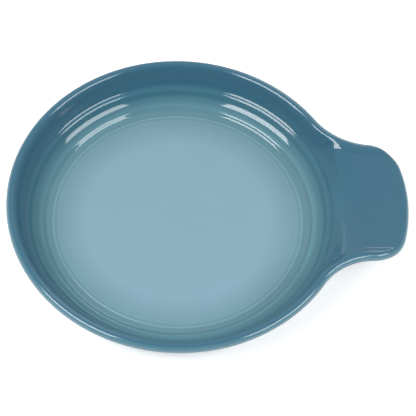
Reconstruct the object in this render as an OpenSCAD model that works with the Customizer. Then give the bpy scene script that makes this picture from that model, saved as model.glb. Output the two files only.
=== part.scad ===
// Spoon rest: a round stoneware dish with a ringed wall and a broad tab that is troughed for a spoon.
// The table is z = 0, the tab points along +X, and the origin is under the middle of the whole length.
// Every node is cut from one skin, a grid of rows (floor, wall, rim, outside, foot) by stations
// (points round the outline). The clay lies one coat of glaze inside that skin.

/* [Dish] */
// Outside diameter of the rim
rim_d = 130; // [115:1:145]
// Height of the rim above the table
rim_h = 20.5; // [18:0.5:24]
// Thickness of the rounded rim
rim_t = 4; // [3.4:0.1:4.6]
// Height of the glazed floor above the table
floor_h = 6.3; // [5.5:0.1:7.5]
// Radius of the cove from the floor up to the inner wall
cove_r = 14.2; // [13:0.1:17]
// Slope of the inner wall under the rim, in degrees
wall_slope = 76; // [70:1:80]
// Slope of the outer wall under the rim, in degrees
outer_slope = 64; // [58:1:68]
// Radius of the outer wall's curve down to the foot
outer_curve = 18; // [13:1:20]

/* [Rings] */
// Number of rings moulded on the lower wall
ring_count = 2; // [1:1:2]
// Middle of the first ring, from the floor's edge along the wall's curve
ring_first = 5.2; // [5:0.1:5.6]
// Spacing of the rings, along the wall's curve
ring_pitch = 6.3; // [5.6:0.1:6.6]
// Width of one ring
ring_w = 4.8; // [4:0.1:5]
// How far a ring stands proud of the wall
ring_h = 0.75; // [0.4:0.05:0.9]
// How much lower each ring stands than the one below it
ring_fall = 0.12; // [0:0.02:0.2]
// Width of the low bead round the floor
bead_w = 1.2; // [0.8:0.1:2.4]
// Height of that bead
bead_h = 0.15; // [0.1:0.05:0.3]

/* [Tab] */
// How far the tab reaches past the rim
tab_reach = 22.5; // [18:0.5:34]
// Width of the tab
tab_w = 51.5; // [44:0.5:60]
// Radius of the tab's corners
tab_corner = 13.5; // [9:0.5:16]
// Radius of the tab's bowed end
tab_bow = 63; // [45:1:90]
// Radius of the sweep from the rim into the tab's side
sweep_r = 25; // [14:0.5:30]
// Drop from the rim to the tab's end
tab_drop = 2.9; // [1:0.1:3.5]
// Height of the trough's start above the ringed wall
trough_step = 0.4; // [0:0.1:1.5]
// Thickness of the tab where it leaves the dish
tab_t = 5; // [4:0.1:6]
// Height of the side lips above the trough's edges
lip_step = 1; // [0.5:0.1:1.5]
// Roundness of the side lips down to the trough
lip_round = 2.6; // [1.5:0.1:4]
// Slope of the tab's sides below the lips, in degrees
side_slope = 45; // [35:1:55]

/* [Foot] */
// How far the foot ring is set in from the outer wall
foot_set = 2.5; // [1.5:0.1:8]
// Width of the foot ring
foot_w = 4; // [3:0.5:6]
// Height of the foot ring, from the table to the glazed base
foot_h = 1.5; // [1:0.1:2]

/* [Glaze] */
// Thickness of the glaze
glaze_t = 0.4; // [0.2:0.05:0.6]

/* [Hidden] */
$fn = 96;

clay_colour = [0.86, 0.82, 0.74];
well_colour = [0.55, 0.68, 0.76];
wall_colour = [0.25, 0.43, 0.52];

// Plan sizes
dish_r = rim_d / 2;
edge_r = rim_t / 2;
half_w = tab_w / 2;
tip_x = dish_r + tab_reach;
origin_shift = [-tab_reach / 2, 0, 0];

// Bowed end, corners, and the sweeps that are tangent to the rim and to the corners
bow_c = [tip_x - tab_bow, 0];
corner_c = [bow_c.x + sqrt(pow(tab_bow - tab_corner, 2) - pow(half_w - tab_corner, 2)), half_w - tab_corner];
corner_a = atan2(corner_c.y, corner_c.x - bow_c.x);
corner_far = norm(corner_c);
sweep_far = dish_r + sweep_r;
sweep_along = (pow(sweep_far, 2) - pow(tab_corner + sweep_r, 2) + pow(corner_far, 2)) / (2 * corner_far);
sweep_aside = sqrt(pow(sweep_far, 2) - pow(sweep_along, 2));
sweep_c = (sweep_along * corner_c + sweep_aside * [-corner_c.y, corner_c.x]) / corner_far;
sweep_a = atan2(sweep_c.y, sweep_c.x);
sweep_x = dish_r * cos(sweep_a);
side_out = (sweep_c - corner_c) / (tab_corner + sweep_r);
joint = corner_c + tab_corner * side_out;
joint_a = atan2(side_out.y, side_out.x);

// Inner wall: a straight run under the rim, and a cove that is tangent to it and to the floor
run_r = dish_r - rim_t;
run_z = rim_h - edge_r;
floor_r = run_r - (run_z - floor_h) / tan(wall_slope) - cove_r * tan(wall_slope / 2);
cove_z = floor_h + cove_r;
cove_end_r = floor_r + cove_r * sin(wall_slope);
ring_clear = 0.5;
ringed_len = ring_first + (ring_count - 1) * ring_pitch + ring_w / 2 + ring_clear;
ringed_a = ringed_len / cove_r * 180 / PI;
ringed_r = floor_r + cove_r * sin(ringed_a);
trough_root = cove_z - cove_r * cos(ringed_a) + trough_step;

// Outer wall: a straight run under the rim's round edge, and a curve down to the base
edge_a = 30;
edge_angles = [60, 30, 0];
edge_in = edge_r * (1 - cos(edge_a));
edge_down = edge_r * (1 + sin(edge_a));
outer_foot_r = dish_r - edge_in - (rim_h - edge_down - foot_h) / tan(outer_slope)
    - outer_curve * tan(outer_slope / 2);
outer_end_r = outer_foot_r + outer_curve * sin(outer_slope);
foot_r = outer_foot_r - foot_set;

// Blends: how wide each soft corner is, in height
rim_blend = 1.6;
shoulder_blend = 1.5;
lip_blend = 1;
belly_blend = 2.5;
outside_blend = 0.2;
root_blend = 5;

// Rim and tab: the rim's own rounding and step, the crest's curve down the tab, and the trough's section
rim_round = 1.2;
rim_step = 2.5;
crest_fall = 1.5;
vee = 0.15;
mouth_rise = 0.2;
lip_in = edge_r + 2;

// Mouth: the wall's least slope there, as a share of its slope on the dish, and how soon it sets in
lean_least = 0.35;
lean_start = 0.3;

// Grid: steps round each stretch of the half outline, and rows where no ring or edge sets them
bow_steps = 4;
corner_steps = 5;
sweep_steps = 9;
dish_steps = 20;
ring_samples = [-0.5, -0.33, -0.17, 0, 0.17, 0.33, 0.5];
blend_samples = [0, 0.06, 0.14, 0.28, 0.5, 0.75, 1];
under_samples = [0.12, 0.26, 0.42, 0.6, 0.78, 0.92, 1];
outer_samples = [1, 0.66, 0.33, 0];
lip_insets = [edge_r + 0.9, edge_r];
widest_step = (180 - sweep_a) / dish_steps;

function mix(a, b, t) = a + (b - a) * t;
function part_way(t) = min(1, max(0, t));
function ease(t) = pow(part_way(t), 2) * (3 - 2 * part_way(t));
function soft_min(a, b, k) = min(a, b) - k / 4 * pow(max(0, 1 - abs(a - b) / k), 2);
function soft_max(a, b, k) = -soft_min(-a, -b, k);

// Stations: a point of the outline and the direction into the part there
function arc(c, r, from, to, steps, side) = [
    for (i = [0 : steps - 1])
        let (a = mix(from, to, i / steps), u = [cos(a), sin(a)])
            [c + r * u, side * u]
];
half_outline = concat(
    arc(bow_c, tab_bow, 0, corner_a, bow_steps, -1),
    arc(corner_c, tab_corner, corner_a, joint_a, corner_steps, -1),
    arc(sweep_c, sweep_r, joint_a - 180, sweep_a - 180, sweep_steps, 1),
    arc([0, 0], dish_r, sweep_a, 180, dish_steps, -1),
    [[[-dish_r, 0], [1, 0]]]
);
function flipped(s) = [[s[0].x, -s[0].y], [s[1].x, -s[1].y]];
stations = concat(half_outline, [for (i = [len(half_outline) - 2 : -1 : 1]) flipped(half_outline[i])]);
function inset(s, n) = s[0] + n * s[1];
function on_circle(s, r) = r * s[0] / norm(s[0]);

// How far a plan point lies in from the rim, the sweeps or, past their joint, the tangent along the tab
function side_inset(p) =
    let (q = [p.x, abs(p.y)])
        (q - joint) * [side_out.y, -side_out.x] > 0 ? (joint - q) * side_out
        : atan2(q.y, q.x) > sweep_a ? dish_r - norm(q)
        : norm(q - sweep_c) - sweep_r;

// 0 on the dish, 1 on the tab
function tab_share(x) = ease((x - sweep_x) / (dish_r - sweep_x));
// 1 up to where the tab leaves the ringed wall, 0 at the tip
function to_tip(x) = min(1, (tip_x - x) / (tip_x - ringed_r));

// Lips: a crest that drops along the tab, rounded down to the trough
function crest_z(x) = rim_h - tab_drop * pow(part_way((x - sweep_x) / (tip_x - sweep_x)), crest_fall);
function lip_rounding(x) = mix(rim_round, lip_round, tab_share(x));
function lip_z(p) = crest_z(p.x) - pow(max(0, side_inset(p) - edge_r), 2) / (2 * lip_rounding(p.x));

// Trough: a straight rise to the tip, hollowed like a rounded V out to the lips' feet
function hollow(out) = (norm([out, vee]) - vee) / (norm([1, vee]) - vee);
function trough_z(p) =
    let (
        step = mix(rim_step, lip_step, tab_share(p.x)),
        lip_foot = edge_r + sqrt(2 * step * lip_rounding(p.x)),
        back = min(mouth_rise * max(0, ringed_r - p.x), rim_h - rim_step - trough_root),
        middle = mix(rim_h - tab_drop, trough_root, to_tip(p.x)) + back,
        out = 1 - part_way((side_inset(p) - lip_foot) / (half_w - lip_foot))
    )
        middle + max(0, crest_z(p.x) - step - middle) * hollow(out);

// Wall: the lower of the dish's wall and the tab's top
function wall_z(r) = r < cove_end_r
    ? cove_z - sqrt(pow(cove_r, 2) - pow(r - floor_r, 2))
    : run_z + (r - run_r) * tan(wall_slope);
function opened_z(p, wall) = soft_min(
    wall,
    soft_max(trough_z(p), lip_z(p), lip_blend),
    mix(rim_blend, shoulder_blend, tab_share(p.x))
);
// Above the rings the wall leans out along the sweeps, so that it still ends at the foot of the rim
function lean(s) = max(lean_least, (dish_r - lip_in - ringed_r) / (norm(inset(s, lip_in)) - ringed_r));
function top_z(s, p) =
    let (past = norm(p) - ringed_r, start = lean_start * (1 - exp(-past / lean_start)))
        opened_z(p, wall_z(ringed_r + mix(start, past, lean(s))));

// Underside of the wall and the tab
function outer_z(r) = r < outer_foot_r ? foot_h
    : r < outer_end_r ? foot_h + outer_curve - sqrt(pow(outer_curve, 2) - pow(r - outer_foot_r, 2))
    : rim_h - edge_down - (dish_r - edge_in - r) * tan(outer_slope);
function side_z(p) = crest_z(p.x) - edge_down - (side_inset(p) - edge_in) * tan(side_slope);
function under_z(p) = soft_min(
    outer_z(norm(p)),
    soft_max(trough_z(p) - mix(rim_t, tab_t, to_tip(p.x)), side_z(p), belly_blend),
    mix(outside_blend, root_blend, tab_share(p.x))
);

// Bead and rings on the cove, as radius and height at a length along the curve
function hump(t) = 0.5 * (1 + cos(180 * min(1, abs(t))));
function ring_rise(along) = max(concat(
    [bead_h * hump(2 * along / bead_w - 1)],
    [for (k = [0 : ring_count - 1])
        (ring_h - k * ring_fall) * hump((along - ring_first - k * ring_pitch) / (ring_w / 2))]
));
function cove_point(along) =
    let (a = along / cove_r * 180 / PI, r = cove_r - ring_rise(along))
        [floor_r + r * sin(a), cove_z - r * cos(a)];
cove_lengths = concat(
    [bead_w / 2, bead_w],
    [for (k = [0 : ring_count - 1], t = ring_samples) ring_first + k * ring_pitch + t * ring_w]
);

// Rows of the skin
function circle_row(r, z) = [for (s = stations) concat(on_circle(s, r), [z])];
function cove_row(rz) = [
    for (s = stations)
        let (p = on_circle(s, rz[0])) concat(p, [opened_z(p, rz[1])])
];
function wall_row(t) = [
    for (s = stations)
        let (p = mix(on_circle(s, ringed_r), inset(s, lip_in), t)) concat(p, [top_z(s, p)])
];
function lip_row(n) = [for (s = stations) concat(inset(s, n), [top_z(s, inset(s, n))])];
function edge_row(a) = [
    for (s = stations)
        concat(inset(s, edge_r * (1 - cos(a))), [top_z(s, inset(s, edge_r)) - edge_r * (1 - sin(a))])
];
function under_row(points) = [for (p = points) concat(p, [under_z(p)])];
glaze_end_r = foot_r / cos(widest_step / 2);
inner_rows = concat(
    [circle_row(floor_r, floor_h)],
    [for (along = cove_lengths) cove_row(cove_point(along))],
    [for (t = blend_samples) wall_row(t)],
    [for (n = lip_insets) lip_row(n)],
    [for (a = edge_angles) edge_row(a)]
);
outer_rows = concat(
    [edge_row(-edge_a)],
    [for (n = [edge_r, lip_in]) under_row([for (s = stations) inset(s, n)])],
    [for (t = under_samples)
        under_row([for (s = stations) mix(inset(s, lip_in), on_circle(s, outer_end_r - edge_r), t)])],
    [for (t = outer_samples)
        let (r = mix(outer_foot_r, outer_end_r - rim_t, t)) circle_row(r, outer_z(r))],
    [circle_row(glaze_end_r, foot_h)]
);
skin = concat(inner_rows, outer_rows);
rim_row = len(inner_rows) - 1;
foot_row = len(skin) - 1;

// Clay: the skin moved in along its normals by the thickness of the glaze
function unit(v) = v / norm(v);
function normal(i, j) =
    let (n = len(stations), above = skin[max(0, i - 1)], below = skin[min(foot_row, i + 1)])
        unit(cross(below[j] - above[j], skin[i][(j + 1) % n] - skin[i][(j + n - 1) % n]));
clay = [
    for (i = [0 : foot_row])
        [for (j = [0 : len(stations) - 1])
            i == 0 || i == foot_row
                ? skin[i][j] + [0, 0, i == 0 ? -glaze_t : glaze_t]
                : skin[i][j] - glaze_t * normal(i, j)]
];

function span(grid, from, to) = [for (i = [from : sign(to - from) : to]) grid[i]];

// A closed solid through rows of points: a ring where the last row meets the first, or capped at both ends
module loft(rows, ring) {
    n = len(rows[0]);
    m = len(rows);
    function at(i, j) = (i % m) * n + j % n;
    function halves(a, b, c, d, turned) = turned ? [[a, b, d], [b, c, d]] : [[a, b, c], [a, c, d]];
    sides = [
        for (i = [0 : ring ? m - 1 : m - 2], j = [0 : n - 1])
            each halves(at(i, j), at(i, j + 1), at(i + 1, j + 1), at(i + 1, j), j >= n / 2)
    ];
    caps = ring ? [] : [[for (j = [n - 1 : -1 : 0]) at(0, j)], [for (j = [0 : n - 1]) at(m - 1, j)]];
    polyhedron([for (row = rows) each row], concat(sides, caps), convexity = 8);
}

module foot_ring() {
    rotate_extrude()
        translate([foot_r - foot_w, 0])
            square([foot_w, foot_h + 2 * glaze_t]);
}

// Fired clay: dish, tab and bare foot ring
module stoneware_body() {
    color(clay_colour)
        translate(origin_shift) {
            loft(clay, false);
            foot_ring();
        }
}

// Pale coat on the flat floor, inside the bead
module well_glaze() {
    color(well_colour)
        translate(origin_shift)
            loft([skin[0], clay[0]], false);
}

// Coat on the ringed wall, the rim and the top of the tab
module wall_glaze() {
    color(wall_colour)
        translate(origin_shift)
            loft(concat(span(skin, 0, rim_row), span(clay, rim_row, 0)), true);
}

// Coat on the outside and the tab's underside, down to the foot
module outer_glaze() {
    color(wall_colour)
        translate(origin_shift)
            loft(concat(span(skin, rim_row, foot_row), span(clay, foot_row, rim_row)), true);
}

// Coat in the recess inside the foot ring
module base_glaze() {
    color(wall_colour)
        translate(origin_shift)
            translate([0, 0, foot_h])
                cylinder(r = foot_r - foot_w, h = glaze_t);
}

stoneware_body();
well_glaze();
wall_glaze();
outer_glaze();
base_glaze();
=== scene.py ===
import math

import bpy
import numpy as np
from mathutils import Matrix, Vector


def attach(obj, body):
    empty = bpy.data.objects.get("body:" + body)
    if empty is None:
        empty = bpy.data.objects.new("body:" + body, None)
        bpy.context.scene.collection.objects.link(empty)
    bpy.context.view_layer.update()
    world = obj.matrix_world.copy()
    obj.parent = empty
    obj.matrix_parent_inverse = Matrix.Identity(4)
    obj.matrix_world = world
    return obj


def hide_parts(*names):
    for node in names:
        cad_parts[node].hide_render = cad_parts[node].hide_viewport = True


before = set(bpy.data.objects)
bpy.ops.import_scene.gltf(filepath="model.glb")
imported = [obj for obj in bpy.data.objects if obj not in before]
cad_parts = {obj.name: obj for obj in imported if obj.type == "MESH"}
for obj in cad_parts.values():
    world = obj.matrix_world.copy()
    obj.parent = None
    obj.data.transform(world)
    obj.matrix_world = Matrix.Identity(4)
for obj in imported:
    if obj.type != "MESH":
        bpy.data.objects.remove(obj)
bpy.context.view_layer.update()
print("frame loaded:", ", ".join(sorted(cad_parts)))

# Sizes are in mm and degrees, with the dish's axis at x = 0 and the table at z = 0.
# toRow moves and scales finished points into the row frame.
dish = {
    "rimAcross": 130.0,
    "rimHeight": 20.5,
    "rimThick": 4.0,
    "lipWidth": 2.0,        # from the rim's crest in to where the wall meets it
    "floorHeight": 6.3,
    "coveRadius": 14.2,
    "wallSlope": 76.0,
    "outerSlope": 64.0,
    "outerCurve": 18.0,
    "glazeThick": 0.4,
}
rings = {
    "count": 2,
    "first": 5.2,
    "pitch": 6.3,
    "width": 4.8,
    "rise": 0.75,
    "fall": 0.12,           # how much lower each ring stands than the one below it
    "clear": 0.5,
    "beadWidth": 1.2,       # low bead round the floor's edge
    "beadRise": 0.15,
}
tab = {
    "reach": 22.5,
    "width": 51.5,
    "corner": 13.5,
    "bow": 63.0,
    "sweep": 25.0,
    "drop": 2.9,
    "troughStep": 0.4,
    "thick": 5.0,
    "lipStep": 1.0,
    "lipRound": 2.6,
    "sideSlope": 45.0,
}
foot = {
    "setIn": 2.5,
    "width": 4.0,
    "height": 1.5,
    "round": 0.5,
    "glazeCove": 0.6,       # the glaze's cove from the recess up the foot ring
}
blends = {          # soft corners in mm of height, and the slopes and shares that shape the tab's mouth
    "rimRound": 1.2,
    "rimStep": 2.5,
    "rim": 1.6,
    "shoulder": 1.5,
    "lip": 1.0,
    "belly": 2.5,
    "vee": 0.15,            # how round the trough's middle is between its straight sides
    "mouthRise": 0.2,       # slope of the trough back over the dish, which keeps it clear of the wall
    "lean": 0.35,           # least slope of the wall in the mouth, as a share of its slope on the dish
    "leanStart": 0.3,
    "outside": 0.2,
    "root": 5.0,
    "crestFall": 1.5,       # power of the crest's drop along the tab
    "underEdge": 30.0,      # degrees that the rim's round edge turns in under its outermost line
}
grid = {            # steps round each stretch of half the outline, and rows across the skin
    "bow": 24,
    "corner": 22,
    "sweep": 44,
    "dish": 120,
    "floorRows": 26,
    "floorSpan": (0.02, 0.97),      # shares of the floor's radius
    "floorClose": (1.0, 0.7, 0.4, 0.2, 0.0),    # closer rows, in mm from the floor's edge
    "ringRows": 110,
    "blendRows": 44,
    "blendBias": 1.3,
    "lipRows": 10,
    "edgeRows": 12,
    "edgeUnderRows": 6,
    "sideRows": 8,
    "underRows": 34,
    "outerRows": 26,
    "baseRows": 4,
    "footRows": 6,
    "recessRows": 8,
    "poleRadius": 1.0,
    "clayEvery": 2,         # the hidden clay and the hidden side of a coat take fewer rows
    "hiddenEvery": 6,
}

# Plan: the dish's circle, the tab's bowed end and corners, and sweeps tangent to rim and corners
dishR = dish["rimAcross"] / 2
edgeR = dish["rimThick"] / 2
halfW = tab["width"] / 2
tipX = dishR + tab["reach"]
bowC = np.array([tipX - tab["bow"], 0.0])
cornerC = np.array([
    bowC[0] + math.sqrt((tab["bow"] - tab["corner"]) ** 2 - (halfW - tab["corner"]) ** 2),
    halfW - tab["corner"],
])
cornerA = math.atan2(cornerC[1], cornerC[0] - bowC[0])
sweepR = tab["sweep"]
cornerFar = np.linalg.norm(cornerC)
sweepAlong = ((dishR + sweepR) ** 2 - (tab["corner"] + sweepR) ** 2 + cornerFar ** 2) / (2 * cornerFar)
sweepAside = math.sqrt((dishR + sweepR) ** 2 - sweepAlong ** 2)
sweepC = (sweepAlong * cornerC + sweepAside * np.array([-cornerC[1], cornerC[0]])) / cornerFar
sweepA = math.atan2(sweepC[1], sweepC[0])
sweepX = dishR * math.cos(sweepA)
sideOut = (sweepC - cornerC) / np.linalg.norm(sweepC - cornerC)
joint = cornerC + tab["corner"] * sideOut
jointA = math.atan2(sideOut[1], sideOut[0])

# Section: inner cove and wall, and the outer wall's curve
wallTan = math.tan(math.radians(dish["wallSlope"]))
outerTan = math.tan(math.radians(dish["outerSlope"]))
sideTan = math.tan(math.radians(tab["sideSlope"]))
coveR = dish["coveRadius"]
runR = dishR - dish["rimThick"]
runZ = dish["rimHeight"] - edgeR
floorR = (runR - (runZ - dish["floorHeight"]) / wallTan
          - coveR * math.tan(math.radians(dish["wallSlope"] / 2)))
coveZ = dish["floorHeight"] + coveR
coveEndR = floorR + coveR * math.sin(math.radians(dish["wallSlope"]))
ringedS = rings["first"] + (rings["count"] - 1) * rings["pitch"] + rings["width"] / 2 + rings["clear"]
ringedR = floorR + coveR * math.sin(ringedS / coveR)
troughRoot = coveZ - coveR * math.cos(ringedS / coveR) + tab["troughStep"]
underEdge = math.radians(blends["underEdge"])
edgeIn = edgeR * (1 - math.cos(underEdge))
edgeDown = edgeR * (1 + math.sin(underEdge))
outerFootR = (dishR - edgeIn - (dish["rimHeight"] - edgeDown - foot["height"]) / outerTan
              - dish["outerCurve"] * math.tan(math.radians(dish["outerSlope"] / 2)))
outerEndR = outerFootR + dish["outerCurve"] * math.sin(math.radians(dish["outerSlope"]))
footR = outerFootR - foot["setIn"]
recessR = footR - foot["width"]
recessTop = foot["height"] + dish["glazeThick"]
lipIn = edgeR + dish["lipWidth"]


def mix(a, b, t):
    # straight blend from a to b
    return a + (b - a) * t


def ease(t):
    # 3t^2 - 2t^3 between 0 and 1
    t = np.clip(t, 0, 1)
    return t * t * (3 - 2 * t)


def softMin(a, b, k):
    # the lower of two heights, rounded by a parabola where they are within k of each other
    return np.minimum(a, b) - k / 4 * np.maximum(0, 1 - np.abs(a - b) / k) ** 2


def softMax(a, b, k):
    # the higher of two heights, rounded in the same way
    return -softMin(-a, -b, k)


def bump(t):
    # one cosine hump: 1 in the middle, 0 from t = -1 and 1 outwards
    return 0.5 * (1 + np.cos(np.pi * np.clip(np.abs(t), 0, 1)))


def arcPoints(centre, radius, start, end, steps, side):
    # points of an arc, and the unit directions along its radii, turned inwards by side
    a = np.linspace(start, end, steps, endpoint=False)
    u = np.stack([np.cos(a), np.sin(a)], -1)
    return centre + radius * u, side * u


def outlinePoints():
    # half the outline from the tab's tip round to the back of the dish, then the same mirrored in y
    stretches = [
        arcPoints(bowC, tab["bow"], 0, cornerA, grid["bow"], -1),
        arcPoints(cornerC, tab["corner"], cornerA, jointA, grid["corner"], -1),
        arcPoints(sweepC, sweepR, jointA - math.pi, sweepA - math.pi, grid["sweep"], 1),
        arcPoints(np.zeros(2), dishR, sweepA, math.pi, grid["dish"], -1),
        (np.array([[-dishR, 0.0]]), np.array([[1.0, 0.0]])),
    ]
    points = np.concatenate([p for p, _ in stretches])
    inward = np.concatenate([n for _, n in stretches])
    flip = np.array([1.0, -1.0])
    return [np.concatenate([half, half[-2:0:-1] * flip]) for half in (points, inward)]


def sideInset(p):
    # how far a plan point lies in from the rim, the sweep or, past its end, the tangent along the tab
    x, y = p[..., 0], np.abs(p[..., 1])
    fromSweep = np.hypot(x - sweepC[0], y - sweepC[1]) - sweepR
    onDish = np.where(np.arctan2(y, x) > sweepA, dishR - np.hypot(x, y), fromSweep)
    pastJoint = (x - joint[0]) * sideOut[1] > (y - joint[1]) * sideOut[0]
    return np.where(pastJoint, (joint[0] - x) * sideOut[0] + (joint[1] - y) * sideOut[1], onDish)


def tabShare(x):
    # 0 on the dish, 1 on the tab
    return ease((x - sweepX) / (dishR - sweepX))


def toTip(x):
    # 1 up to where the tab leaves the ringed wall, falling to 0 at the tip
    return np.minimum(1, (tipX - x) / (tipX - ringedR))


def crestHeight(x):
    # the rim's height, which drops along the tab
    along = np.clip((x - sweepX) / (tipX - sweepX), 0, 1)
    return dish["rimHeight"] - tab["drop"] * along ** blends["crestFall"]


def wallHeight(r):
    # circular cove up from the floor, then a straight steep run
    arc = coveZ - np.sqrt(coveR ** 2 - np.clip(r - floorR, 0, coveEndR - floorR) ** 2)
    return np.where(r < coveEndR, arc, runZ + (r - runR) * wallTan)


def lipRounding(x):
    # radius at the crest, from the rim's to the tab's
    return mix(blends["rimRound"], tab["lipRound"], tabShare(x))


def troughHeight(p):
    # a straight rise to the tip, hollowed like a rounded V up to a step below the crest at the lips
    x, vee = p[..., 0], blends["vee"]
    share = tabShare(x)
    step = mix(blends["rimStep"], tab["lipStep"], share)
    lipFoot = edgeR + np.sqrt(2 * step * lipRounding(x))
    mostBack = dish["rimHeight"] - blends["rimStep"] - troughRoot
    back = np.minimum(blends["mouthRise"] * np.maximum(0, ringedR - x), mostBack)
    middle = mix(dish["rimHeight"] - tab["drop"], troughRoot, toTip(x)) + back
    out = 1 - np.clip((sideInset(p) - lipFoot) / (halfW - lipFoot), 0, 1)
    hollow = (np.hypot(out, vee) - vee) / (math.hypot(1, vee) - vee)
    return middle + np.maximum(0, crestHeight(x) - step - middle) * hollow


def openedHeight(p, wall):
    # the lower of the dish's wall and the tab's top, which is the higher of trough and lips
    x = p[..., 0]
    lip = crestHeight(x) - np.maximum(0, sideInset(p) - edgeR) ** 2 / (2 * lipRounding(x))
    tabTop = softMax(troughHeight(p), lip, blends["lip"])
    return softMin(wall, tabTop, mix(blends["rim"], blends["shoulder"], tabShare(x)))


def topHeight(p):
    # above the rings the wall leans out along the sweeps, so that it still ends at the foot of the rim
    past = np.hypot(p[..., 0], p[..., 1]) - ringedR
    lean = np.maximum(blends["lean"], (dishR - lipIn - ringedR) / (lipR - ringedR))
    start = blends["leanStart"] * (1 - np.exp(-past / blends["leanStart"]))
    return openedHeight(p, wallHeight(ringedR + lean * past + (1 - lean) * start))


def outerHeight(r):
    # flat base, circular curve, then a straight flared run to the rim
    curve = dish["outerCurve"]
    past = np.clip(r - outerFootR, 0, outerEndR - outerFootR)
    arc = foot["height"] + curve - np.sqrt(curve ** 2 - past ** 2)
    run = dish["rimHeight"] - edgeDown - (dishR - edgeIn - r) * outerTan
    return np.where(r < outerFootR, foot["height"], np.where(r < outerEndR, arc, run))


def underHeight(p):
    # the lower of the dish's outside and the tab's underside, blended more widely along the sweep
    x = p[..., 0]
    belly = troughHeight(p) - mix(dish["rimThick"], tab["thick"], toTip(x))
    side = crestHeight(x) - edgeDown - (sideInset(p) - edgeIn) * sideTan
    blend = mix(blends["outside"], blends["root"], tabShare(x))
    return softMin(outerHeight(np.hypot(x, p[..., 1])), softMax(belly, side, blends["belly"]), blend)


def ringRise(s):
    # a cosine hump for each ring along the cove, and a low one for the bead at its foot
    k = np.clip(np.round((s - rings["first"]) / rings["pitch"]), 0, rings["count"] - 1)
    rise = rings["rise"] - k * rings["fall"]
    ring = rise * bump((s - rings["first"] - k * rings["pitch"]) / (rings["width"] / 2))
    return np.maximum(ring, rings["beadRise"] * bump(2 * s / rings["beadWidth"] - 1))


def covePoint(s):
    # radius and height at length s along the cove, moved in by the rings
    a, r = s / coveR, coveR - ringRise(s)
    return floorR + r * np.sin(a), coveZ - r * np.cos(a)


outline, inward = outlinePoints()
outward = outline / np.linalg.norm(outline, axis=1)[:, None]
lipR = np.linalg.norm(outline + lipIn * inward, axis=1)


def circleRows(r, z):
    # rows of circles, each on the stations' own bearings
    plan = r[:, None, None] * outward[None]
    return np.concatenate([plan, np.broadcast_to(z[:, None, None], plan.shape[:2] + (1,))], -1)


def heightRows(plan, height):
    # plan points with their heights
    return np.concatenate([plan, height(plan)[..., None]], -1)


def coveRows(s):
    # the ringed cove, opened into the tab where it reaches the tab's mouth
    r, z = covePoint(s)
    return heightRows(r[:, None, None] * outward[None], lambda p: openedHeight(p, z[:, None]))


def edgeRows(angles):
    # the rim's round edge: angle 90 is its crest, 0 its outermost line
    base = topHeight(outline + edgeR * inward)
    plan = outline[None] + edgeR * (1 - np.cos(angles))[:, None, None] * inward[None]
    z = base[None] - edgeR * (1 - np.sin(angles))[:, None]
    return np.concatenate([plan, z[..., None]], -1)


def skinRows():
    # every row of the glazed skin from the middle of the floor, over the rim, to the foot
    floorS = np.linspace(*grid["floorSpan"], grid["floorRows"]) * floorR
    floorS = np.concatenate([floorS, floorR - np.array(grid["floorClose"])])
    coveS = np.linspace(0, ringedS, grid["ringRows"])[1:]
    start, end = ringedR * outward, outline + lipIn * inward
    blendT = np.linspace(0, 1, grid["blendRows"])[1:, None, None] ** grid["blendBias"]
    lipN = np.linspace(lipIn, edgeR, grid["lipRows"])[1:, None, None]
    underEnd = outerEndR - edgeR
    underT = np.linspace(0, 1, grid["underRows"])[1:, None, None]
    underN = np.linspace(edgeIn, lipIn, grid["sideRows"])[1:, None, None]
    outerR = np.linspace(underEnd, outerFootR, grid["outerRows"])[1:]
    baseR = np.linspace(outerFootR, footR, grid["baseRows"])[1:]
    parts = {
        "floor": circleRows(floorS, np.full_like(floorS, dish["floorHeight"])),
        "cove": coveRows(coveS),
        "wall": heightRows(mix(start, end, blendT), topHeight),
        "lip": heightRows(outline + lipN * inward, topHeight),
        "rim": edgeRows(np.linspace(math.pi / 2, 0, grid["edgeRows"])[1:]),
        "edge": edgeRows(np.linspace(0, -underEdge, grid["edgeUnderRows"])[1:]),
        "side": heightRows(outline + underN * inward, underHeight),
        "under": heightRows(mix(outline + lipIn * inward, underEnd * outward, underT), underHeight),
        "outer": circleRows(outerR, outerHeight(outerR)),
        "base": circleRows(baseR, np.full_like(baseR, foot["height"])),
    }
    ends = np.cumsum([len(rows) for rows in parts.values()])
    return np.concatenate(list(parts.values())), dict(zip(parts, ends))


def gridNormals(rows):
    # across the rows times along the stations, which points out of the part
    down = np.gradient(rows, axis=0)
    along = np.roll(rows, -1, axis=1) - np.roll(rows, 1, axis=1)
    n = np.cross(down, along)
    return n / np.linalg.norm(n, axis=-1, keepdims=True)


skin, ends = skinRows()
skinNormal = gridNormals(skin)
clay = skin - dish["glazeThick"] * skinNormal
floorRow = ends["floor"] - 1
rimRow = ends["rim"] - 1
footRow = len(skin) - 1
print("skin:", skin.shape[0], "rows by", skin.shape[1], "stations")


def toRow(points):
    # mm about the dish's axis to metres about the middle of the whole length
    return (points - np.array([tab["reach"] / 2, 0.0, 0.0])) / 1000


def loftFaces(m, n, ring):
    # quads between neighbouring rows and stations, and fans to two poles where the rows aren't a ring
    i, j = np.meshgrid(np.arange(m if ring else m - 1), np.arange(n), indexing="ij")
    i2, j2 = (i + 1) % m, (j + 1) % n
    quads = np.stack([i * n + j, i2 * n + j, i2 * n + j2, i * n + j2], -1).reshape(-1, 4)
    if ring:
        return quads.tolist()
    j = np.arange(n)
    first = np.stack([np.full(n, m * n), j, (j + 1) % n], -1)
    last = np.stack([(m - 1) * n + j, np.full(n, m * n + 1), (m - 1) * n + (j + 1) % n], -1)
    return quads.tolist() + first.tolist() + last.tolist()


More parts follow.
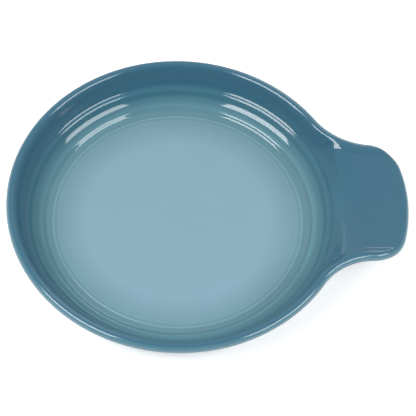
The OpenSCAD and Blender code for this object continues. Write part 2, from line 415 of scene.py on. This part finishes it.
def bendOf(rows, normals):
    # how fast the normal turns along the profile, per mm: above 0 on an edge, below 0 in a hollow
    turn, step = np.gradient(normals, axis=0), np.gradient(rows, axis=0)
    return (turn * step).sum(-1) / np.maximum((step * step).sum(-1), 1e-6)


def loftPiece(name, rows, normals, travel, bend, ring, node, slot, material):
    # a closed piece through rows of points, with the skin's normals, place on the profile and bend
    m, n = rows.shape[:2]
    points, shade = rows.reshape(-1, 3), normals.reshape(-1, 3)
    marks = {"travel": travel.reshape(-1), "bend": bend.reshape(-1)}
    if not ring:
        points = np.concatenate([points, rows[:1].mean(1), rows[-1:].mean(1)])
        shade = np.concatenate([shade, normals[:1].mean(1), normals[-1:].mean(1)])
        marks["travel"] = np.concatenate([marks["travel"], travel[[0, -1]].mean(1)])
        marks["bend"] = np.concatenate([marks["bend"], [0.0, 0.0]])
    mesh = bpy.data.meshes.new(name)
    mesh.from_pydata(toRow(points).tolist(), [], loftFaces(m, n, ring))
    for mark, values in marks.items():
        mesh.attributes.new(mark, "FLOAT", "POINT").data.foreach_set("value", values.astype(np.float32))
    mesh.polygons.foreach_set("use_smooth", np.ones(len(mesh.polygons), bool))
    shade = shade / np.linalg.norm(shade, axis=1)[:, None]
    mesh.normals_split_custom_set_from_vertices(shade.tolist())
    mesh.materials.append(material)
    mesh.update()
    piece = bpy.data.objects.new(name, mesh)
    bpy.context.scene.collection.objects.link(piece)
    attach(piece, "root")
    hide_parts(node)
    triangles = sum(len(p.vertices) - 2 for p in mesh.polygons)
    print(f"{name}: {len(mesh.vertices)} points, {triangles} triangles")
    return piece


fade = {            # in mm along the skin
    "reach": 2.6,           # how much further the pale glaze reaches up the rings on the tab's side
    "spread": 1.5,          # above 1 keeps it to a narrower arc
    "starts": (1.5, 4.0),
    "ends": (14.0, 20.0),
}


def skinTravel():
    # length along the skin from the floor's edge, drawn back on the rings towards the tab
    back = skin.shape[1] // 2
    steps = np.linalg.norm(np.diff(skin[:, back], axis=0), axis=-1)
    length = np.concatenate([[0], np.cumsum(steps)])
    length -= length[floorRow]
    low, high = ((length - a) / (b - a) for a, b in (fade["starts"], fade["ends"]))
    towardTab = (0.5 + 0.5 * outward[:, 0]) ** fade["spread"]
    return length[:, None] - fade["reach"] * (ease(low) * (1 - ease(high)))[:, None] * towardTab


travel = skinTravel()
skinBend = bendOf(skin, skinNormal)


def coat(first, last):
    # the skin's rows from first to last and the clay side back, coarser where it is hidden
    outer = np.arange(first, last + 1)
    inner = np.unique(np.concatenate([outer[::grid["hiddenEvery"]], [last]]))[::-1]
    rows = np.concatenate([skin[outer], clay[inner]])
    normals = np.concatenate([skinNormal[outer], -skinNormal[inner]])
    both = np.concatenate([outer, inner])
    return rows, normals, travel[both], skinBend[both]


def newMaterial(name):
    # a node material, its nodes and its links
    material = bpy.data.materials.new(name)
    material.use_nodes = True
    return material, material.node_tree.nodes, material.node_tree.links


def mathNode(nodes, links, kind, operation, *inputs):
    # a Math or Vector Math node, whose inputs are sockets or fixed values
    node = nodes.new(kind)
    node.operation = operation
    for socket, value in zip(node.inputs, inputs):
        if isinstance(value, bpy.types.NodeSocket):
            links.new(value, socket)
        else:
            socket.default_value = value
    return node


def rangeNode(nodes, links, value, low, high, least, most):
    # carries low to least and high to most, and no further
    node = nodes.new("ShaderNodeMapRange")
    for name, number in zip(("From Min", "From Max", "To Min", "To Max"), (low, high, least, most)):
        node.inputs[name].default_value = number
    links.new(value, node.inputs["Value"])
    return node


def srgb(r, g, b):
    # 0 to 255 screen values to linear light
    c = np.array([r, g, b]) / 255
    return (*np.where(c <= 0.04045, c / 12.92, ((c + 0.055) / 1.055) ** 2.4), 1.0)


glaze = {
    "stops": [      # travel in mm, colour there
        (-12.0, srgb(138, 175, 192)),
        (-4.0, srgb(124, 162, 178)),
        (-2.2, srgb(119, 158, 172)),
        (-1.2, srgb(121, 160, 175)),
        (-0.4, srgb(109, 149, 163)),     # painted shade: a darker line just inside the bead
        # painted highlight: a paler line along the bead's crest
        (0.4, srgb(119, 161, 174)),
        (1.6, srgb(100, 143, 156)),
        (3.0, srgb(101, 148, 162)),
        (4.5, srgb(91, 140, 155)),
        (8.5, srgb(74, 125, 143)),
        (11.5, srgb(65, 118, 138)),
        (14.0, srgb(62, 112, 135)),
        (24.3, srgb(63, 112, 135)),
        (25.0, srgb(92, 138, 156)),     # paler over the rim's outer edge: partly thinner glaze, partly painted light bounced from the white table below
        (26.6, srgb(92, 138, 156)),
        (27.6, srgb(63, 112, 135)),
    ],
    "span": (-20.0, 40.0),
    "roughness": 0.06,
    "index": 1.6,
    "mottleScale": 90.0,
    "mottleDetail": 3.0,
    "mottle": 0.03,
    "bend": 2.0,        # per mm, where the paler edges and darker hollows stop growing; the paler edges are partly thinner glaze and partly painted highlight, the darker hollows painted shade
    # share by which edges are made paler and hollows darker: glaze breaking plus painted highlight on edges,
    # painted shade in hollows
    "breakAndPaintedLight": 0.16,
}


def gradedGlaze():
    # pale on the floor, teal over the rings, blue from the wall on, paler on edges (thinner glaze and painted
    # highlight) and darker in hollows (painted shade), with a faint mottle
    material, nodes, links = newMaterial("gradedGlaze")
    shader = nodes["Principled BSDF"]
    shader.inputs["Roughness"].default_value = glaze["roughness"]
    shader.inputs["IOR"].default_value = glaze["index"]
    place = nodes.new("ShaderNodeAttribute")
    place.attribute_name = "travel"
    low, high = glaze["span"]
    where = rangeNode(nodes, links, place.outputs["Fac"], low, high, 0.0, 1.0)
    ramp = nodes.new("ShaderNodeValToRGB")
    elements = ramp.color_ramp.elements
    while len(elements) < len(glaze["stops"]):
        elements.new(0.5)
    for element, (at, colour) in zip(elements, glaze["stops"]):
        element.position = (at - low) / (high - low)
        element.color = colour
    links.new(where.outputs["Result"], ramp.inputs["Fac"])
    coords = nodes.new("ShaderNodeTexCoord")
    mottle = nodes.new("ShaderNodeTexNoise")
    mottle.inputs["Scale"].default_value = glaze["mottleScale"]
    mottle.inputs["Detail"].default_value = glaze["mottleDetail"]
    links.new(coords.outputs["Object"], mottle.inputs["Vector"])
    shade = rangeNode(nodes, links, mottle.outputs["Fac"], 0.0, 1.0, 1 - glaze["mottle"], 1 + glaze["mottle"])
    bend = nodes.new("ShaderNodeAttribute")
    bend.attribute_name = "bend"
    # painted light by bend: edges paler, partly thinner glaze and partly painted highlight, and hollows
    # darker as painted shade
    breakLightAndShade = rangeNode(nodes, links, bend.outputs["Fac"], -glaze["bend"], glaze["bend"],
                     1 - glaze["breakAndPaintedLight"], 1 + glaze["breakAndPaintedLight"])
    value = mathNode(nodes, links, "ShaderNodeMath", "MULTIPLY",
                     shade.outputs["Result"], breakLightAndShade.outputs["Result"])
    tint = nodes.new("ShaderNodeHueSaturation")
    links.new(value.outputs["Value"], tint.inputs["Value"])
    links.new(ramp.outputs["Color"], tint.inputs["Color"])
    links.new(tint.outputs["Color"], shader.inputs["Base Color"])
    return material


claySettings = {
    "colour": srgb(222, 212, 194),
    "speck": srgb(176, 158, 130),
    "speckScale": 900.0,
    "speckDetail": 4.0,
    "speckRamp": (0.3, 0.48),
    "roughness": 0.85,
    "grain": 0.15,
    "grainDepth": 0.0003,   # in metres
}


def bareClay():
    # sanded buff clay with fine darker specks
    material, nodes, links = newMaterial("bareClay")
    shader = nodes["Principled BSDF"]
    shader.inputs["Roughness"].default_value = claySettings["roughness"]
    coords = nodes.new("ShaderNodeTexCoord")
    specks = nodes.new("ShaderNodeTexNoise")
    specks.inputs["Scale"].default_value = claySettings["speckScale"]
    specks.inputs["Detail"].default_value = claySettings["speckDetail"]
    links.new(coords.outputs["Object"], specks.inputs["Vector"])
    ramp = nodes.new("ShaderNodeValToRGB")
    colours = claySettings["speck"], claySettings["colour"]
    for element, at, colour in zip(ramp.color_ramp.elements, claySettings["speckRamp"], colours):
        element.position = at
        element.color = colour
    links.new(specks.outputs["Fac"], ramp.inputs["Fac"])
    links.new(ramp.outputs["Color"], shader.inputs["Base Color"])
    grain = nodes.new("ShaderNodeBump")
    grain.inputs["Strength"].default_value = claySettings["grain"]
    grain.inputs["Distance"].default_value = claySettings["grainDepth"]
    links.new(specks.outputs["Fac"], grain.inputs["Height"])
    links.new(grain.outputs["Normal"], shader.inputs["Normal"])
    return material


glazeMaterial = gradedGlaze()
clayMaterial = bareClay()


def footRows():
    # down the foot ring's outside, round its two edges, up its inside and across the recess under its coat
    r = foot["round"]
    a = np.linspace(0, math.pi / 2, grid["footRows"])
    recess = np.linspace(recessR, grid["poleRadius"], grid["recessRows"])
    section = np.concatenate([
        np.stack([footR - r + r * np.cos(a), r - r * np.sin(a)], -1),
        np.stack([recessR + r - r * np.sin(a), r - r * np.cos(a)], -1),
        np.stack([recess, np.full_like(recess, recessTop)], -1),
    ])
    return circleRows(section[:, 0], section[:, 1])


def clayPiece():
    # the clay under every coat, the bare foot ring and the recess, as one closed loft between two poles
    every = np.unique(np.concatenate([np.arange(0, footRow, grid["clayEvery"]), [footRow]]))
    rows = np.concatenate([clay[every], footRows()])
    plain = np.zeros(rows.shape[:2])
    return loftPiece("clayBody", rows, gridNormals(rows), plain, plain, False,
                     "stoneware_body", "bare_clay", clayMaterial)


def basePiece():
    # a disc of glaze in the recess, with a small cove up the foot ring
    pole, cove = grid["poleRadius"], foot["glazeCove"]
    a = np.linspace(0, math.pi / 2, grid["footRows"])
    flatR = np.linspace(pole, recessR - cove, grid["recessRows"])[:-1]
    flat = np.stack([flatR, np.full_like(flatR, foot["height"])], -1)
    under = np.stack([recessR - cove + cove * np.sin(a), foot["height"] - cove + cove * np.cos(a)], -1)
    top = [[pole, recessTop], [recessR, recessTop]]
    section = np.concatenate([top, np.concatenate([flat, under])[::-1]])
    rows = circleRows(section[:, 0], section[:, 1])
    lasting = np.full(rows.shape[:2], travel[footRow].mean())
    return loftPiece("baseGlaze", rows, gridNormals(rows), lasting, np.zeros(rows.shape[:2]), False,
                     "base_glaze", "blue_glaze", glazeMaterial)


clayPiece()
loftPiece("wellGlaze", *coat(0, floorRow), False, "well_glaze", "pale_glaze", glazeMaterial)
loftPiece("wallGlaze", *coat(floorRow, rimRow), True, "wall_glaze", "blue_glaze", glazeMaterial)
loftPiece("outerGlaze", *coat(rimRow, footRow), True, "outer_glaze", "blue_glaze", glazeMaterial)
basePiece()

studio = {
    "floorSide": 6.0,
    "floorColour": (0.9, 0.9, 0.9, 1.0),
    "floorRoughness": 0.9,
    "floorGlow": 0.52,
    "worldLight": 0.36,
    "worldLean": (0.0, 0.75, 0.15),     # the room is brighter behind the dish and overhead
    "worldLevel": 0.8,
    "boxDistance": 1.0,
    "boxSize": (0.58, 0.42),
    "windowHalf": (0.22, 1.0, 0.19),    # on unit directions, as the windows' middles are
    "windowPlateau": 0.3,               # share of the half size at full glow
}
windows = {         # soft bright patches of the room behind the dish, seen directly and in the glaze alone
    "windowLeft": {"middle": (-0.25, 0.89, 0.37), "glow": 0.5},
    "windowRight": {"middle": (0.29, 0.86, 0.41), "glow": 3.0},
}
softboxes = {       # tilt and turn of the wall that mirrors each box to the camera, and watts
    "softboxLeft": {"tilt": 34.4, "turn": 124.5, "power": 4.3},
    "softboxRight": {"tilt": 32.8, "turn": 52.5, "power": 5.8},
}


def seenDirectly(nodes, links):
    # 1 for camera, mirror and see-through rays
    path = nodes.new("ShaderNodeLightPath")
    seen = path.outputs["Is Camera Ray"]
    for kind in ("Is Glossy Ray", "Is Transmission Ray"):
        seen = mathNode(nodes, links, "ShaderNodeMath", "MAXIMUM", seen, path.outputs[kind]).outputs["Value"]
    return seen


def makeFloor():
    # a flat square that glows only where it is seen directly, so that it lights the dish as a plain floor
    half = studio["floorSide"] / 2
    corners = [(-half, -half, 0), (half, -half, 0), (half, half, 0), (-half, half, 0)]
    mesh = bpy.data.meshes.new("studioFloor")
    mesh.from_pydata(corners, [], [(0, 1, 2, 3)])
    floor = bpy.data.objects.new("studioFloor", mesh)
    bpy.context.scene.collection.objects.link(floor)
    material, nodes, links = newMaterial("studioFloor")
    shader = nodes["Principled BSDF"]
    shader.inputs["Base Color"].default_value = studio["floorColour"]
    shader.inputs["Roughness"].default_value = studio["floorRoughness"]
    shader.inputs["Specular IOR Level"].default_value = 0.0
    shader.inputs["Emission Color"].default_value = (1.0, 1.0, 1.0, 1.0)
    seen = seenDirectly(nodes, links)
    glow = mathNode(nodes, links, "ShaderNodeMath", "MULTIPLY", seen, studio["floorGlow"])
    links.new(glow.outputs["Value"], shader.inputs["Emission Strength"])
    mesh.materials.append(material)


def addWindow(nodes, links, direction, seen, strength, middle, glow):
    # strength plus a glow that fades from the window's middle to 0 where the offset is one half size long
    vector = "ShaderNodeVectorMath"
    off = mathNode(nodes, links, vector, "SUBTRACT", direction, middle)
    share = mathNode(nodes, links, vector, "DIVIDE", off.outputs["Vector"], studio["windowHalf"])
    far = mathNode(nodes, links, vector, "LENGTH", share.outputs["Vector"])
    patch = rangeNode(nodes, links, far.outputs["Value"], 1.0, studio["windowPlateau"], 0.0, glow)
    patch.interpolation_type = "SMOOTHSTEP"
    total = mathNode(nodes, links, "ShaderNodeMath", "MULTIPLY_ADD", patch.outputs["Result"], seen, strength)
    return total.outputs["Value"]


def makeWorld():
    # light times a level plus the direction's share along the lean, and the windows
    world = bpy.data.worlds.new("studioWorld")
    bpy.context.scene.world = world
    world.use_nodes = True
    nodes, links = world.node_tree.nodes, world.node_tree.links
    background = nodes["Background"]
    background.inputs["Color"].default_value = (1.0, 1.0, 1.0, 1.0)
    direction = nodes.new("ShaderNodeTexCoord").outputs["Generated"]
    light = studio["worldLight"]
    lean = mathNode(nodes, links, "ShaderNodeVectorMath", "DOT_PRODUCT", direction, studio["worldLean"])
    even = mathNode(nodes, links, "ShaderNodeMath", "MULTIPLY_ADD",
                    lean.outputs["Value"], light, light * studio["worldLevel"])
    seen, strength = seenDirectly(nodes, links), even.outputs["Value"]
    for window in windows.values():
        strength = addWindow(nodes, links, direction, seen, strength, **window)
    links.new(strength, background.inputs["Strength"])


# Camera: the photo's frame is 416 pixels square and the lens is given in those pixels
camera = {
    "focalPixels": 3000.0,
    "framePixels": 416.0,
    "sensor": 36.0,         # in mm
    "clip": (0.01, 20.0),
    "elevation": 57.68,
    "azimuth": -4.06,
    "roll": 2.76,
    "distance": 1.1473,
    "aim": (0.00044, 0.00519, 0.0063),
}


def cameraBack():
    # unit direction from the dish to the camera, turned by azimuth and raised by elevation
    a, e = math.radians(camera["azimuth"]), math.radians(camera["elevation"])
    return Vector((math.sin(a) * math.cos(e), -math.cos(a) * math.cos(e), math.sin(e)))


def makeCamera():
    # at its distance from the aim, looking back at it and rolled about its own axis
    data = bpy.data.cameras.new("photoCamera")
    data.sensor_width = camera["sensor"]
    data.lens = camera["focalPixels"] / camera["framePixels"] * data.sensor_width
    data.clip_start, data.clip_end = camera["clip"]
    shot = bpy.data.objects.new("photoCamera", data)
    bpy.context.scene.collection.objects.link(shot)
    back = cameraBack()
    roll = Matrix.Rotation(math.radians(camera["roll"]), 3, "Z")
    turn = (-back).to_track_quat("-Z", "Y").to_matrix() @ roll
    place = Vector(camera["aim"]) + back * camera["distance"]
    shot.matrix_world = Matrix.Translation(place) @ turn.to_4x4()
    bpy.context.scene.camera = shot


def makeSoftbox(name, tilt, turn, power):
    # it stands where the inner wall at bearing turn, sloping by tilt, mirrors the camera's view to it
    tilt, turn = math.radians(tilt), math.radians(turn)
    across = Vector((-math.cos(turn), -math.sin(turn), 0.0))
    facing = across * math.sin(tilt) + Vector((0, 0, math.cos(tilt)))
    back = cameraBack()
    direction = 2 * facing.dot(back) * facing - back
    data = bpy.data.lights.new(name, "AREA")
    data.shape = "RECTANGLE"
    data.size, data.size_y = studio["boxSize"]
    data.energy = power
    lamp = bpy.data.objects.new(name, data)
    bpy.context.scene.collection.objects.link(lamp)
    long = Vector((0, 0, 1)).cross(across).normalized()
    z = direction.normalized()
    x = (long - long.dot(z) * z).normalized()
    axes = Matrix((x, z.cross(x), z)).transposed()
    lamp.matrix_world = Matrix.Translation(direction * studio["boxDistance"]) @ axes.to_4x4()


makeFloor()
makeWorld()
makeCamera()
for name, box in softboxes.items():
    makeSoftbox(name, **box)
bpy.context.scene.view_settings.view_transform = "Standard"
print("studio ready")
